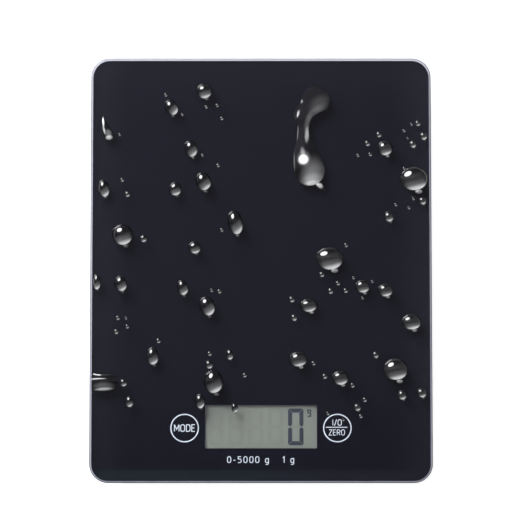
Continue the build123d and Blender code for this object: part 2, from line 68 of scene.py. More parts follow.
# ---- Materials ------------------------------------------------------------------------
class Finish:
    """A Principled material being put together, patterned in the object's own coordinates."""

    def __init__(self, name, roughness=0.5, metallic=0.0, specular=0.5, ior=1.5):
        self.material = bpy.data.materials.new(name)
        self.material.use_nodes = True
        self.tree = self.material.node_tree
        self.shader = self.tree.nodes["Principled BSDF"]
        self.set("Roughness", roughness)
        self.set("Metallic", metallic)
        self.set("Specular IOR Level", specular)
        self.set("IOR", ior)
        self.place = self.node("ShaderNodeTexCoord").outputs["Object"]

    def set(self, socket, value):
        self.shader.inputs[socket].default_value = value

    def node(self, kind, **settings):
        made = self.tree.nodes.new(kind)
        for key, value in settings.items():
            setattr(made, key, value)
        return made

    def link(self, source, target):
        self.tree.links.new(source, target)

    def feed(self, socket, source):
        self.link(source, self.shader.inputs[socket])

    def scaled_place(self, stretch):
        mapping = self.node("ShaderNodeMapping")
        mapping.inputs["Scale"].default_value = stretch
        self.link(self.place, mapping.inputs["Vector"])
        return mapping.outputs["Vector"]

    def noise(self, size, detail=3.0, stretch=(1, 1, 1)):
        """Noise from 0 to 1 with blotches about size across. Stretch squeezes it along an axis."""
        noise = self.node("ShaderNodeTexNoise")
        noise.inputs["Scale"].default_value = 1.0 / size
        noise.inputs["Detail"].default_value = detail
        self.link(self.scaled_place(stretch), noise.inputs["Vector"])
        return noise.outputs["Fac"]

    def bands(self, size):
        """Even stripes across X, each pair size apart."""
        wave = self.node("ShaderNodeTexWave", bands_direction="X")
        wave.inputs["Scale"].default_value = math.pi / 10 / size
        self.link(self.place, wave.inputs["Vector"])
        return wave.outputs["Fac"]

    def axis(self, name):
        split = self.node("ShaderNodeSeparateXYZ")
        self.link(self.place, split.inputs[0])
        return split.outputs[name]

    def maths(self, operation, first, second=0.0):
        made = self.node("ShaderNodeMath", operation=operation)
        for socket, value in zip(made.inputs, (first, second)):
            if isinstance(value, (int, float)):
                socket.default_value = value
            else:
                self.link(value, socket)
        return made.outputs[0]

    def remap(self, source, low, high, to_low=0.0, to_high=1.0):
        """Source between low and high, eased to between to_low and to_high."""
        made = self.node("ShaderNodeMapRange", interpolation_type="SMOOTHSTEP")
        self.link(source, made.inputs["Value"])
        for socket, value in zip(made.inputs[1:5], (low, high, to_low, to_high)):
            socket.default_value = value
        return made.outputs["Result"]

    def blend(self, factor, first, second):
        """A colour between two, each a colour or a socket."""
        mix = self.node("ShaderNodeMix", data_type="RGBA")
        self.link(factor, mix.inputs["Factor"])
        colour_inputs = [s for s in mix.inputs if s.type == "RGBA"]
        for socket, value in zip(colour_inputs, (first, second)):
            if isinstance(value, bpy.types.NodeSocket):
                self.link(value, socket)
            else:
                socket.default_value = (*value, 1.0)
        return next(s for s in mix.outputs if s.type == "RGBA")

    def inset_from_outline(self, high, corner):
        """Distance inwards from a rounded rectangle about the origin, true near its outline."""
        values = self.place
        for operation, second in (
            ("ABSOLUTE", None),
            ("SUBTRACT", (high.x - corner, high.y - corner, 0.0)),
            ("MAXIMUM", (0.0, 0.0, 0.0)),
            ("MULTIPLY", (1.0, 1.0, 0.0)),
            ("LENGTH", None),
        ):
            step = self.node("ShaderNodeVectorMath", operation=operation)
            self.link(values, step.inputs[0])
            if second is not None:
                step.inputs[1].default_value = second
            values = step.outputs["Value" if operation == "LENGTH" else "Vector"]
        return self.maths("SUBTRACT", corner, values)

    def relief(self, height, depth):
        """Bump of that depth in metres."""
        bump = self.node("ShaderNodeBump")
        bump.inputs["Distance"].default_value = depth
        self.link(height, bump.inputs["Height"])
        self.feed("Normal", bump.outputs["Normal"])

    def lets_lamps_through(self):
        """Shadow rays pass, so that lamps light what lies behind glass."""
        output = next(n for n in self.tree.nodes if n.type == "OUTPUT_MATERIAL")
        mix = self.node("ShaderNodeMixShader")
        self.link(self.node("ShaderNodeLightPath").outputs["Is Shadow Ray"], mix.inputs[0])
        self.link(self.shader.outputs[0], mix.inputs[1])
        self.link(self.node("ShaderNodeBsdfTransparent").outputs[0], mix.inputs[2])
        self.link(mix.outputs[0], output.inputs["Surface"])


def shades(colour, change):
    """A darker and a lighter version of a colour."""
    return [c * (1 - change) for c in colour], [c * (1 + change) for c in colour]


def moulded(name, colour, roughness, grain=0.4 * MM, depth=0.01 * MM, change=0.15, **more):
    """Plastic, rubber, foam or ink: slightly mottled, unevenly glossy, with a fine grain."""
    finish = Finish(name, **more)
    finish.feed("Base Color", finish.blend(finish.noise(9 * MM), *shades(colour, change)))
    gloss = finish.remap(finish.noise(3 * MM), 0.3, 0.7, roughness - 0.06, roughness + 0.06)
    finish.feed("Roughness", gloss)
    finish.relief(finish.noise(grain), depth)
    return finish.material


def metal(name, colour, roughness, stretch=(1, 1, 1), change=0.12):
    """Plated or stainless steel. Stretch draws the noise out into a brushed grain."""
    finish = Finish(name, metallic=1.0)
    finish.feed("Base Color", finish.blend(finish.noise(4 * MM), *shades(colour, change)))
    brushed = finish.noise(0.5 * MM, stretch=stretch)
    finish.feed("Roughness", finish.remap(brushed, 0.3, 0.7, roughness - 0.08, roughness + 0.1))
    finish.relief(brushed, 0.004 * MM)
    return finish.material


def pane_glass(name, tint, ripple_depth):
    """Thin clear glass with a faint ripple."""
    finish = Finish(name, roughness=0.0, ior=1.52)
    finish.set("Transmission Weight", 1.0)
    finish.feed("Base Color", finish.blend(finish.noise(60 * MM), *shades(tint, 0.02)))
    finish.relief(finish.noise(20 * MM, detail=1.0), ripple_depth)
    finish.lets_lamps_through()
    return finish.material


def platform_glass():
    """Clear tempered glass, with painted shade near its edge: the tint turns blue grey there and dark slate
    at the very edge.
    """
    finish = Finish("platform_glass", roughness=0.0, ior=1.52)
    finish.set("Transmission Weight", 1.0)
    inset = finish.inset_from_outline(glass_high, GLASS_CORNER)
    rim = glass_high.x - print_high.x
    clear = finish.blend(finish.noise(60 * MM), (0.93, 0.96, 0.97), (0.95, 0.98, 0.98))
    # Painted shade: blue grey near the edge, darkening to slate at the very edge.
    painted_rim_shade_fade = finish.remap(inset, 0.3 * rim, 0.55 * rim)
    edge = finish.blend(painted_rim_shade_fade, (0.08, 0.085, 0.11), (0.24, 0.24, 0.30))
    finish.feed("Base Color", finish.blend(finish.remap(inset, rim, 1.1 * rim), edge, clear))
    finish.relief(finish.noise(45 * MM, detail=1.0), 0.004 * MM)
    finish.lets_lamps_through()
    return finish.material


def black_print():
    """Dark enamel fired on the glass. Its lighter sides and the lighter band along the front edge are
    painted reflection.
    """
    finish = Finish("black_print", specular=0.0)
    mottle = finish.blend(finish.noise(14 * MM), (0.0046, 0.0047, 0.0090), (0.0058, 0.0059, 0.0105))
    from_middle = finish.maths("ABSOLUTE", finish.axis("X"))
    # Painted reflection: the print turns lighter towards its left and right sides.
    painted_side_reflection_mask = finish.remap(from_middle, print_high.x * 0.75, print_high.x)
    with_painted_side_reflection = finish.blend(painted_side_reflection_mask, mottle, (0.0085, 0.0087, 0.0135))
    # Painted reflection: a lighter band along the front edge, bluer towards the left.
    rightwards = finish.remap(finish.axis("X"), -30 * MM, 40 * MM)
    painted_front_reflection = finish.blend(rightwards, (0.0086, 0.0118, 0.0162), (0.0088, 0.0092, 0.0145))
    painted_front_reflection_mask = finish.remap(finish.axis("Y"), print_low.y + 6.4 * MM, print_low.y + 5.2 * MM)
    finish.feed("Base Color", finish.blend(painted_front_reflection_mask, with_painted_side_reflection, painted_front_reflection))
    return finish.material


def display_face():
    """The grey-green polariser, with the cloudiness of the reflector behind it."""
    finish = Finish("display_face", roughness=0.35, specular=0.25)
    cloudy = finish.noise(5 * MM, stretch=(1.0, 0.35, 1.0))
    finish.feed("Base Color", finish.blend(cloudy, (0.151, 0.158, 0.140), (0.166, 0.174, 0.156)))
    finish.relief(finish.noise(0.3 * MM), 0.001 * MM)
    return finish.material


def zebra_rubber():
    """Thin conducting and insulating layers in turn."""
    finish = Finish("zebra_rubber", roughness=0.6)
    layers = finish.bands(0.5 * MM)
    finish.feed("Base Color", finish.blend(layers, (0.42, 0.20, 0.17), (0.03, 0.03, 0.03)))
    finish.relief(layers, 0.02 * MM)
    return finish.material


def circuit_board():
    """Green solder mask with copper tracks showing through as lighter lines."""
    finish = Finish("circuit_board", roughness=0.35)
    tracks = finish.node("ShaderNodeTexBrick", offset=0.5)
    tracks.inputs["Scale"].default_value = 1.0
    tracks.inputs["Mortar Size"].default_value = 0.22 * MM
    tracks.inputs["Brick Width"].default_value = 5.5 * MM
    tracks.inputs["Row Height"].default_value = 1.8 * MM
    finish.link(finish.place, tracks.inputs["Vector"])
    mask = finish.blend(finish.noise(8 * MM), (0.012, 0.10, 0.035), (0.02, 0.15, 0.055))
    finish.feed("Base Color", finish.blend(tracks.outputs["Fac"], mask, (0.06, 0.30, 0.12)))
    finish.relief(tracks.outputs["Fac"], 0.03 * MM)
    return finish.material


def ceramic_parts():
    """Small chips with a tan or grey body between tinned ends."""
    finish = Finish("ceramic_parts", roughness=0.4)
    low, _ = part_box("smd_parts")
    pitch = 3.4 * MM
    half_length = 1.0 * MM
    half_body = 0.55 * MM
    along = finish.maths("SUBTRACT", finish.axis("X"), low.x)
    turns = finish.maths("FRACT", finish.maths("DIVIDE", along, pitch))
    within = finish.maths("MULTIPLY", turns, pitch)
    from_middle = finish.maths("ABSOLUTE", finish.maths("SUBTRACT", within, half_length))
    tinned = finish.remap(from_middle, half_body, half_body + 0.05 * MM)
    body = finish.blend(finish.noise(1.5 * MM), (0.30, 0.20, 0.12), (0.22, 0.20, 0.18))
    finish.feed("Base Color", finish.blend(tinned, body, (0.7, 0.7, 0.68)))
    finish.feed("Metallic", tinned)
    return finish.material


def gauge_film():
    """Amber film over the gauge's folded foil track."""
    finish = Finish("gauge_film", roughness=0.25)
    track = finish.remap(finish.bands(0.5 * MM), 0.45, 0.6)
    finish.feed("Base Color", finish.blend(track, (0.62, 0.33, 0.07), (0.30, 0.17, 0.06)))
    finish.relief(finish.noise(0.8 * MM), 0.01 * MM)
    return finish.material


def water():
    """Drops on the dark glass, with painted light. Each vertex says how bright the drop is painted there,
    which sets its base colour and a glow in its emission.
    """
    finish = Finish("water", roughness=0.03, ior=1.65)
    painted_drop_light = finish.node("ShaderNodeAttribute", attribute_name="painted_drop_light").outputs["Fac"]
    uneven = finish.remap(finish.noise(0.9 * MM), 0.3, 0.7, 0.93, 1.07)
    light = finish.maths("MULTIPLY", painted_drop_light, uneven)
    finish.feed("Base Color", finish.blend(light, (0.003, 0.003, 0.004), (0.92, 0.93, 0.92)))
    # Painted glow: the painted light also shines as emission, though the drop is no lamp.
    finish.feed("Emission Color", finish.blend(light, (0.0, 0.0, 0.0), (0.9, 0.91, 0.9)))
    finish.set("Emission Strength", 0.35)
    return finish.material


FINISHES = {
    "platform_glass": platform_glass(),
    "black_print": black_print(),
    "legend_ink": moulded("legend_ink", (0.57, 0.61, 0.69), 0.5, change=0.04, specular=0.0),
    "foam_tape": moulded("foam_tape", (0.03, 0.03, 0.03), 0.85, grain=0.3 * MM, depth=0.05 * MM),
    "housing_plastic": moulded(
        "housing_plastic", (0.022, 0.022, 0.025), 0.5, grain=0.35 * MM, depth=0.02 * MM
    ),
    "gasket_foam": moulded("gasket_foam", (0.02, 0.02, 0.02), 0.9, grain=0.3 * MM, depth=0.05 * MM),
    "polariser_film": display_face(),
    "display_glass": pane_glass("display_glass", (0.82, 0.88, 0.84), 0.001 * MM),
    "reflector_foil": metal("reflector_foil", (0.75, 0.76, 0.74), 0.35, stretch=(0.1, 1, 1)),
    "white_plastic": moulded("white_plastic", (0.74, 0.73, 0.70), 0.4, change=0.05),
    "elastomer": zebra_rubber(),
    "circuit_board": circuit_board(),
    "black_epoxy": moulded("black_epoxy", (0.012, 0.012, 0.012), 0.3, grain=0.7 * MM),
    "ceramic_parts": ceramic_parts(),
    "spring_metal": metal("spring_metal", (0.70, 0.68, 0.63), 0.25),
    "screw_steel": metal("screw_steel", (0.55, 0.55, 0.57), 0.32),
    "sensor_steel": metal("sensor_steel", (0.60, 0.60, 0.60), 0.3, stretch=(0.08, 1, 1)),
    "gauge_film": gauge_film(),
    "bracket_plastic": moulded("bracket_plastic", (0.05, 0.05, 0.055), 0.45),
    "ribbon_insulation": moulded("ribbon_insulation", (0.30, 0.31, 0.33), 0.45, change=0.08),
    "cell_steel": metal("cell_steel", (0.66, 0.66, 0.67), 0.28, stretch=(1, 0.08, 1)),
    "red_insulation": moulded("red_insulation", (0.50, 0.025, 0.02), 0.4, change=0.08),
    "black_insulation": moulded("black_insulation", (0.018, 0.018, 0.018), 0.4),
    "foot_plastic": moulded("foot_plastic", (0.028, 0.028, 0.031), 0.4, grain=0.5 * MM),
    "pad_rubber": moulded("pad_rubber", (0.075, 0.075, 0.08), 0.75, grain=0.4 * MM, depth=0.03 * MM),
}
for name, node in nodes.items():
    for material_slot in node.material_slots:
        material_slot.material = FINISHES[slot_of[name]]


# ---- Pieces ---------------------------------------------------------------------------
def new_piece(name, vertices, faces, slot, material, smooth_angle=None, rides=True):
    """A mesh that rides on the scale's body, unless it is to bend."""
    mesh = bpy.data.meshes.new(name)
    mesh.from_pydata(vertices, [], faces)
    mesh.materials.append(material)
    piece = bpy.data.objects.new(name, mesh)
    bpy.context.scene.collection.objects.link(piece)
    if smooth_angle is not None:
        mesh.shade_smooth()
        mesh.set_sharp_from_angle(angle=math.radians(smooth_angle))
    if rides:
        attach(piece, "scale_body")
    return piece


def rounded_outline(width, depth, corner, steps=20):
    """Points of a rounded rectangle about the origin, anticlockwise."""
    points = []
    for quarter, (side_x, side_y) in enumerate(((1, 1), (-1, 1), (-1, -1), (1, -1))):
        for step in range(steps + 1):
            angle = math.radians(90 * (quarter + step / steps))
            x = side_x * (width / 2 - corner) + corner * math.cos(angle)
            y = side_y * (depth / 2 - corner) + corner * math.sin(angle)
            points.append((x, y))
    return points


def skinned(rings, looped=False):
    """Vertices and faces of a skin through rings of points, back to the first ring if looped."""
    count = len(rings[0])
    vertices = [point for ring in rings for point in ring]
    faces = []
    for level in range(len(rings) if looped else len(rings) - 1):
        start = level * count
        above = (level + 1) % len(rings) * count
        for i in range(count):
            following = (i + 1) % count
            faces.append((start + i, start + following, above + following, above + i))
    return vertices, faces


def lofted(rings):
    """Vertices and faces of a closed skin through rings of points, with flat ends."""
    vertices, faces = skinned(rings)
    count = len(rings[0])
    faces.append(tuple(reversed(range(count))))
    faces.append(tuple(range(len(vertices) - count, len(vertices))))
    return vertices, faces


def platform_rings(profile):
    """Rings round the platform, one for each inset from its outline and height."""
    width, depth = glass_high.x - glass_low.x, glass_high.y - glass_low.y
    rings = []
    for inset, z in profile:
        outline = rounded_outline(width - 2 * inset, depth - 2 * inset, GLASS_CORNER - inset)
        rings.append([(x, y, z) for x, y in outline])
    return rings


def glass_plate():
    """The platform with its polished round edge. Its underside is fused to the print."""
    flat_margin = 0.4 * MM
    arc_steps = 8
    low, high = print_high.z - 0.01 * MM, glass_high.z
    lower_arc, upper_arc = [], []
    for step in range(arc_steps + 1):
        angle = math.radians(90 * step / arc_steps)
        rise = GLASS_EDGE * (1 - math.cos(angle))
        lower_arc.append((GLASS_EDGE * (1 - math.sin(angle)), low + rise))
        upper_arc.append((rise, high - GLASS_EDGE * (1 - math.sin(angle))))
    inner = GLASS_EDGE + flat_margin
    profile = [(inner, low), *lower_arc, *upper_arc, (inner, high)]
    plate = new_piece(
        "platform_glass_plate", *lofted(platform_rings(profile)), "platform_glass",
        FINISHES["platform_glass"], smooth_angle=40,
    )
    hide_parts("glass_platform")


def painted_edge_line():
    """A painted blue-grey line along the upper edge, just outside the print, in place of the light that the
    polished edge refracts.
    """
    proud, sunk = 0.01 * MM, 0.04 * MM
    outside, inside = [], []
    for share in (0.38, 0.55, 0.7, 0.85, 1.0):
        slope = math.asin(1 - share)
        for points, lift in ((outside, proud), (inside, -sunk)):
            reach = GLASS_EDGE + lift
            inset = GLASS_EDGE - reach * math.sin(slope)
            points.append((inset, glass_high.z - GLASS_EDGE + reach * math.cos(slope)))
    line = skinned(platform_rings(outside + inside[::-1]), looped=True)
    # Painted light: a matte blue-grey strip standing in for light refracted by the polished edge.
    edge_line_paint = moulded("painted_edge_line_finish", (0.33, 0.335, 0.40), 0.5, grain=0.2 * MM, change=0.05, specular=0.3)
    new_piece("platform_painted_edge_line", *line, "platform_glass", edge_line_paint, smooth_angle=40)


glass_plate()
painted_edge_line()


# ---- Load cells -----------------------------------------------------------------------
def load_cell(corner):
    """The clamped frame stays with the body, and the tongue inside it, which bends as the foot rises, is
    left unattached.

    Local Y runs from the tongue's tip to its root, towards the middle of the platform.
    """
    node = f"load_cell_{corner}"
    low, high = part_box(node)
    middle = (low + high) / 2
    rootwards = -math.copysign(1, middle.y)
    slot_width, slot_depth = 17 * MM, 16 * MM
    half_tongue, tip_corner = 7.1 * MM, 1.0 * MM

    def placed(x, y, z):
        return (middle.x + rootwards * x, middle.y + rootwards * y, z)

    outer = rounded_outline(high.x - low.x, high.y - low.y, 2.0 * MM)
    inner = rounded_outline(slot_width, slot_depth, 1.6 * MM)
    rings = []
    for outline, z in ((outer, low.z), (outer, high.z), (inner, high.z), (inner, low.z)):
        rings.append([placed(x, y, z) for x, y in outline])
    steel = FINISHES["sensor_steel"]
    clamped = new_piece(
        f"load_cell_frame_{corner}", *skinned(rings, looped=True), "sensor_steel", steel, smooth_angle=40
    )
    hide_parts(node)

    tip = -slot_depth / 2 + 1.4 * MM
    root = slot_depth / 2 + 0.02 * MM
    stations = []
    for step in range(4):
        angle = math.radians(30 * step)
        half = half_tongue - tip_corner * (1 - math.sin(angle))
        stations.append((half, tip + tip_corner * (1 - math.cos(angle))))
    for step in range(1, 17):
        y = tip + tip_corner + (root - tip - tip_corner) * step / 16
        stations.append((half_tongue, y))
    sections = []
    for half, y in stations:
        corners = ((-half, low.z), (-half, high.z), (half, high.z), (half, low.z))
        sections.append([placed(x, y, z) for x, z in corners])
    tongue = new_piece(
        f"load_cell_tongue_{corner}", *lofted(sections), "sensor_steel", steel, smooth_angle=40, rides=False
    )
    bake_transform(tongue)


for corner in ("front_left", "front_right", "back_left", "back_right"):
    load_cell(corner)


# ---- Display --------------------------------------------------------------------------
SEGMENT_ORDER = ("top", "upper_left", "upper_right", "middle", "lower_left", "lower_right", "bottom")


def seven_segments(width, height, stroke, gap):
    """Outlines of a seven-segment figure's bars, from its lower left corner."""
    middle, half = height / 2, stroke / 2
    cut = 0.3 * stroke
    inner = stroke + gap
    top = [
        (cut, height), (cut / 2 + gap, height - cut / 2), (inner, height - stroke),
        (width - inner, height - stroke), (width - cut / 2 - gap, height - cut / 2), (width - cut, height),
    ]
    upper_left = [
        (0, height - cut), (0, middle + half), (half, middle + gap), (stroke, middle + half),
        (stroke, height - inner), (cut / 2, height - cut / 2 - gap),
    ]
    bar = [
        (half + gap, middle), (inner, middle - half), (width - inner, middle - half),
        (width - half - gap, middle), (width - inner, middle + half), (inner, middle + half),
    ]
    turned = {"top": top, "upper_left": upper_left, "middle": bar}
    turned["upper_right"] = [(width - x, y) for x, y in reversed(upper_left)]
    turned["lower_left"] = [(x, height - y) for x, y in reversed(upper_left)]
    turned["lower_right"] = [(width - x, height - y) for x, y in upper_left]
    turned["bottom"] = [(x, height - y) for x, y in reversed(top)]
    return turned


def raised_outlines(outlines, bottom, top):
    """Vertices and faces of thin flat solids, one for each outline."""
    vertices, faces = [], []
    for outline in outlines:
        start = len(vertices)
        skin, skin_faces = lofted([[(x, y, z) for x, y in outline] for z in (bottom, top)])
        vertices += skin
        faces += [tuple(start + i for i in face) for face in skin_faces]
    return vertices, faces


def display_marks():
    """A zero and its unit, lit, and the faint unlit segments of the other figures."""
    lit, unlit = [], []
    pitch = 10.5 * MM
    left, base = 14.2 * MM, -92.6 * MM
    figure = seven_segments(8.1 * MM, 19.3 * MM, 2.15 * MM, 0.12 * MM)
    for place in range(5):
        for part in SEGMENT_ORDER:
            outline = [(left - place * pitch + x, base + y) for x, y in figure[part]]
            shows = place == 0 and part != "middle"
            (lit if shows else unlit).append(outline)
    unit_left, unit_base = 24.2 * MM, -77.7 * MM
    unit = seven_segments(2.2 * MM, 3.9 * MM, 0.75 * MM, 0.02 * MM)
    for part in SEGMENT_ORDER:
        if part != "lower_left":
            lit.append([(unit_left + x, unit_base + y) for x, y in unit[part]])
    thickness = 0.03 * MM
    for name, outlines, colour in (
        ("display_segments_lit", lit, (0.026, 0.029, 0.042)),
        ("display_segments_unlit", unlit, (0.152, 0.159, 0.142)),
    ):
        ink = moulded(name, colour, 0.4, change=0.05, specular=0.2)
        solids = raised_outlines(outlines, film_high.z, film_high.z + thickness)
        new_piece(name, *solids, "polariser_film", ink)


display_marks()


# ---- Water ----------------------------------------------------------------------------
# The direction away from the lamp, along the glass
LIGHT_SIDE = Vector((0.30, -0.954))


def ease(value, low, high):
    """0 below low and 1 above high, smooth between."""
    t = min(max((value - low) / (high - low), 0.0), 1.0)
    return t * t * (3 - 2 * t)


def painted_gathered_light(u, v, clarity):
    """How bright a drop is painted at (u, v) on its unit disc.

    Painted light gathers on the side away from the lamp, starting further back and more gently in a
    clearer drop, and in clearer drops a faint painted reflection curves along the rim on the lamp's side.
    """
    along = u * LIGHT_SIDE.x + v * LIGHT_SIDE.y
    across = abs(u * LIGHT_SIDE.y - v * LIGHT_SIDE.x)
    radius = math.hypot(u, v)
    back = -0.05 - clarity
    glow = 0.03 * (1 - clarity) * ease(along, back, back + 0.3)
    glow += 0.12 * ease(along, 0.05, 0.65) + 0.95 * ease(along, 0.50, 0.93)
    glow *= (1 - ease(radius, 0.92, 0.99)) * (1 - 0.9 * ease(across, 0.5, 0.95))
    # Painted reflection: a faint bright curve along the rim on the lamp's side.
    painted_rim_arc = 0.10 * clarity * ease(radius, 0.86, 0.91) * (1 - ease(radius, 0.92, 0.97)) * ease(-along, 0.5, 0.9)
    return glow + painted_rim_arc


def painted_light(x, y, patches):
    """How bright a large drop looks at x and y, given its soft bright patches."""
    light = 0.0
    for patch_x, patch_y, half_width, half_depth, turn, brightness in patches:
        angle = math.radians(turn)
        across = (x - patch_x) * math.cos(angle) + (y - patch_y) * math.sin(angle)
        along = (y - patch_y) * math.cos(angle) - (x - patch_x) * math.sin(angle)
        reach = math.hypot(across / half_width, along / half_depth)
        light += brightness * (1 - ease(reach, 0.25, 1.0))
    return min(light, 1.0)


def curve_through(rows, steps):
    """Rows of numbers with more rows between them, on a smooth curve through all."""
    padded = [rows[0], *rows, rows[-1]]
    made = []
    for before, start, end, after in zip(padded, padded[1:], padded[2:], padded[3:]):
        for step in range(steps):
            t = step / steps
            made.append([
                q + 0.5 * t * (r - p + t * (2 * p - 5 * q + 4 * r - w + t * (3 * (q - r) + w - p)))
                for p, q, r, w in zip(before, start, end, after)
            ])
    made.append(list(rows[-1]))
    return made


class Puddle:
    """Drops put together into one mesh, with a painted light value on each vertex."""

    def __init__(self):
        self.vertices = []
        self.faces = []
        self.values = []

    def dome(self, x, y, radius_x, radius_y, turn=0.0, clarity=0.0, value=None):
        """A drop with its middle at x and y, in millimetres and degrees."""
        spread = (radius_x + radius_y) / 2
        height = min(0.60 * spread, 3.4)
        rings, sides = (14, 40) if spread > 1.8 else (7, 20)
        contact = 2 * math.atan(height / spread)
        ball = spread / math.sin(contact)
        angle = math.radians(turn)
        start = len(self.vertices)
        for ring in range(1, rings + 1):
            reach = math.sin(math.pi / 2 * ring / rings)
            lift = math.sqrt(ball ** 2 - (reach * spread) ** 2) - ball * math.cos(contact)
            for side in range(sides):
                phi = 2 * math.pi * side / sides
                wobble = 1 + 0.015 * math.sin(2 * phi + x) + 0.015 * math.sin(3 * phi + y)
                u, v = reach * math.cos(phi), reach * math.sin(phi)
                px, py = u * radius_x * wobble, v * radius_y * wobble
                turned_x = px * math.cos(angle) - py * math.sin(angle)
                turned_y = px * math.sin(angle) + py * math.cos(angle)
                z = glass_high.z + max(lift, 0.0) * MM
                self.vertices.append(((x + turned_x) * MM, (y + turned_y) * MM, z))
                self.values.append(painted_gathered_light(u, v, clarity) if value is None else value)
        for ring in range(rings - 1):
            for side in range(sides):
                a = start + ring * sides + side
                b = start + ring * sides + (side + 1) % sides
                self.faces.append((a, a + sides, b + sides, b))
        crown = len(self.vertices)
        self.vertices.append((x * MM, y * MM, glass_high.z + height * MM))
        self.values.append(painted_gathered_light(0, 0, clarity) if value is None else value)
        self.faces += [(crown, start + side, start + (side + 1) % sides) for side in range(sides)]
        rim = start + (rings - 1) * sides
        self.faces.append(tuple(reversed(range(rim, rim + sides))))

    def drop(self, x, y, radius_x, radius_y=None, turn=0.0, clarity=0.0):
        """A dome, with a small bead beyond its lower side, painted as a faint glint of light."""
        radius_y = radius_y or radius_x
        self.dome(x, y, radius_x, radius_y, turn, clarity)
        if radius_x > 1.6:
            tail_x = x + 1.12 * radius_x * LIGHT_SIDE.x
            tail_y = y + 1.12 * radius_y * LIGHT_SIDE.y
            # Painted glint: the bead's fixed value, brighter for clearer drops.
            self.dome(tail_x, tail_y, 0.25 * radius_x, 0.16 * radius_x, value=0.05 + 0.4 * clarity)

    def stream(self, rows, patches):
        """A long drop, given from front to back by y, left x, right x and height in millimetres."""
        columns = 36
        levels = curve_through(rows, 6)
        start = len(self.vertices)
        for y, left, right, height in levels:
            for column in range(columns + 1):
                across = -math.cos(math.pi * column / columns)
                x = (left + right) / 2 + across * (right - left) / 2
                lift = max(height, 0.0) * (1 - across ** 2)
                self.vertices.append((x * MM, y * MM, glass_high.z + lift * MM))
                self.values.append(painted_light(x, y, patches))
        for level in range(len(levels) - 1):
            front = start + level * (columns + 1)
            back = front + columns + 1
            for column in range(columns):
                self.faces.append((front + column, front + column + 1, back + column + 1, back + column))
        width = columns + 1
        left_side = [start + level * width for level in range(len(levels))]
        right_side = [start + level * width + columns for level in range(len(levels))]
        for i in range(len(levels) - 1):
            self.faces.append((left_side[i], left_side[i + 1], right_side[i + 1], right_side[i]))
        self.faces.append(tuple(reversed(range(start, start + width))))
        self.faces.append(tuple(range(left_side[-1], left_side[-1] + width)))

    def finish(self, name):
        piece = new_piece(name, self.vertices, self.faces, "platform_glass", WATER, smooth_angle=60)
        # The painted light of each vertex, read by the water material.
        values = piece.data.attributes.new("painted_drop_light", "FLOAT", "POINT")
        values.data.foreach_set("value", self.values)


WATER = water()

# Each drop: x, y, half width, half depth, turn
LEFT_DROPS = (
    (-30.0, 94.8, 4.1, 4.1, 0), (-47.5, 86.0, 3.3, 4.4, 25), (-86.4, -6.8, 2.1, 4.2, 0),
    (-37.0, 64.0, 3.4, 4.6, 15), (-83.0, 42.8, 3.0, 4.6, 10), (-45.3, 42.6, 3.4, 3.6, 0),
    (-30.5, 46.5, 4.0, 5.0, 15), (-73.0, 18.2, 5.4, 5.6, 0), (-62.0, 16.2, 1.9, 1.9, 0),
    (-35.0, 11.4, 3.3, 3.3, 0), (-13.6, 24.6, 4.0, 6.4, 12), (-73.8, -7.7, 3.2, 4.2, 10),
    (-41.3, -9.8, 2.9, 4.2, 10), (-28.3, -19.6, 4.0, 5.2, 15), (-57.0, -46.0, 3.3, 4.6, 5),
    (-72.2, -59.9, 1.9, 1.9, 0), (-69.0, -69.9, 2.2, 2.8, 0), (-32.0, -69.7, 2.6, 3.8, 5),
    (-25.0, -59.5, 5.0, 6.2, 5), (-27.2, -50.4, 2.1, 2.1, 0), (-16.4, -45.2, 1.9, 2.7, 0),
    (-13.8, -73.2, 1.8, 2.4, 10),
)
RIGHT_DROPS = (
    (65.6, 64.3, 3.9, 4.0, 0), (80.8, 48.0, 7.4, 6.4, 0), (86.0, 70.8, 2.0, 2.0, 0),
    (80.3, 66.5, 1.9, 1.9, 0), (67.5, 27.8, 2.6, 2.6, 0), (85.3, 36.3, 2.0, 2.0, 0),
    (36.2, 5.6, 7.4, 6.0, 0), (53.4, -9.2, 3.8, 3.4, 0), (65.5, -11.2, 3.9, 3.4, 0),
    (25.1, -19.2, 4.6, 3.5, 0), (79.0, -28.0, 5.1, 4.1, 0), (19.5, -47.6, 4.7, 4.0, 0),
    (41.6, -57.4, 4.4, 3.7, 0), (70.6, -53.0, 6.4, 5.8, 0), (74.0, -66.4, 2.4, 2.4, 0),
    (84.3, -65.3, 2.4, 2.4, 0), (60.2, -45.2, 1.7, 1.7, 0), (50.5, -72.8, 1.9, 1.9, 0),
)
